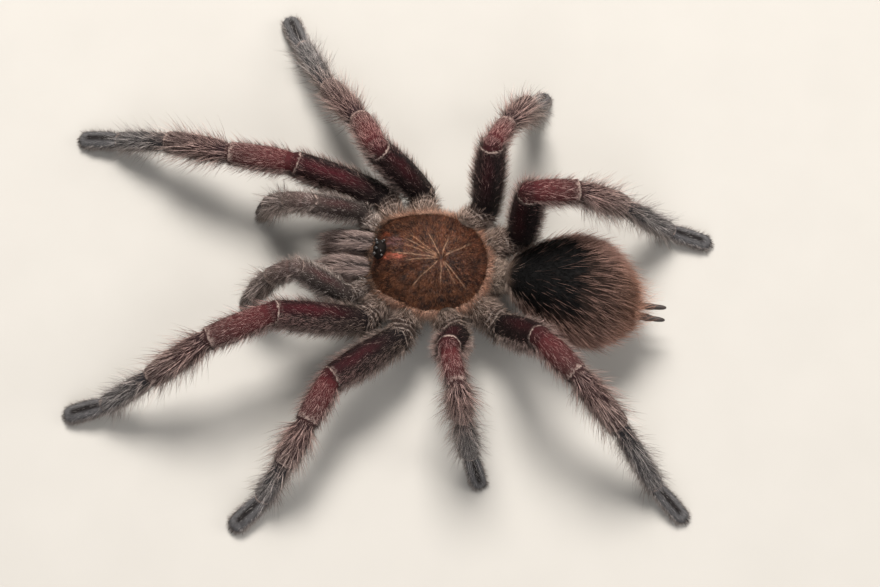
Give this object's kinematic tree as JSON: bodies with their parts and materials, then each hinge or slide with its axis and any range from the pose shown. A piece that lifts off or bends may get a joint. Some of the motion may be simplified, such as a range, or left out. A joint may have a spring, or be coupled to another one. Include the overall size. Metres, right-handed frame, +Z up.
{
  "type": "tarantula",
  "caption": "Still, life-size museum model of a furry ground-living tarantula, standing low with its legs spread and its feelers forward.",
  "frame": {"origin": "middle of the model's box, on the floor that the feet stand on", "axes": "-Y the way the head faces, +X the animal's left, +Z up"},
  "size_m": [0.1222, 0.146, 0.0328],
  "materials": {
    "carapace": "short copper-brown velvet over a hard back shield, with pale rays from its middle",
    "eye_mound": "black, softly glossy",
    "eye": "black, wet gloss",
    "fang": "black horn, glossy",
    "grey_coat": "short grey-beige fuzz",
    "leg_coat": "dark burgundy velvet with long pale bristles",
    "foot_coat": "blue-grey brush, darker down the middle",
    "abdomen_coat": "black velvet under long reddish-brown hair swept to the rear",
    "spinneret": "black, short-haired"
  },
  "bodies": {
    "root": {"carapace": "carapace", "eye_mound": "eye_mound", "breast_plate": "grey_coat", "waist": "grey_coat", "abdomen": "abdomen_coat", "eye_front_middle_right": "eye", "eye_front_side_right": "eye", "eye_rear_middle_right": "eye", "eye_rear_side_right": "eye", "jaw_right": "grey_coat", "fang_right": "fang", "spinneret_long_right": "spinneret", "palp_right_coxa": "grey_coat", "palp_right_femur": "leg_coat", "palp_right_shin": "leg_coat", "leg_1_right_coxa": "grey_coat", "leg_1_right_femur": "leg_coat", "leg_1_right_shin": "leg_coat", "leg_1_right_foot": "foot_coat", "leg_2_right_coxa": "grey_coat", "leg_2_right_femur": "leg_coat", "leg_2_right_shin": "leg_coat", "leg_2_right_foot": "foot_coat", "leg_3_right_coxa": "grey_coat", "leg_3_right_femur": "leg_coat", "leg_3_right_shin": "leg_coat", "leg_3_right_foot": "foot_coat", "leg_4_right_coxa": "grey_coat", "leg_4_right_femur": "leg_coat", "leg_4_right_shin": "leg_coat", "leg_4_right_foot": "foot_coat", "eye_front_middle_left": "eye", "eye_front_side_left": "eye", "eye_rear_middle_left": "eye", "eye_rear_side_left": "eye", "jaw_left": "grey_coat", "fang_left": "fang", "spinneret_long_left": "spinneret", "palp_left_coxa": "grey_coat", "palp_left_femur": "leg_coat", "palp_left_shin": "leg_coat", "leg_1_left_coxa": "grey_coat", "leg_1_left_femur": "leg_coat", "leg_1_left_shin": "leg_coat", "leg_1_left_foot": "foot_coat", "leg_2_left_coxa": "grey_coat", "leg_2_left_femur": "leg_coat", "leg_2_left_shin": "leg_coat", "leg_2_left_foot": "foot_coat", "leg_3_left_coxa": "grey_coat", "leg_3_left_femur": "leg_coat", "leg_3_left_shin": "leg_coat", "leg_3_left_foot": "foot_coat", "leg_4_left_coxa": "grey_coat", "leg_4_left_femur": "leg_coat", "leg_4_left_shin": "leg_coat", "leg_4_left_foot": "foot_coat", "spinneret_short": "spinneret"}
  },
  "joints": []
}
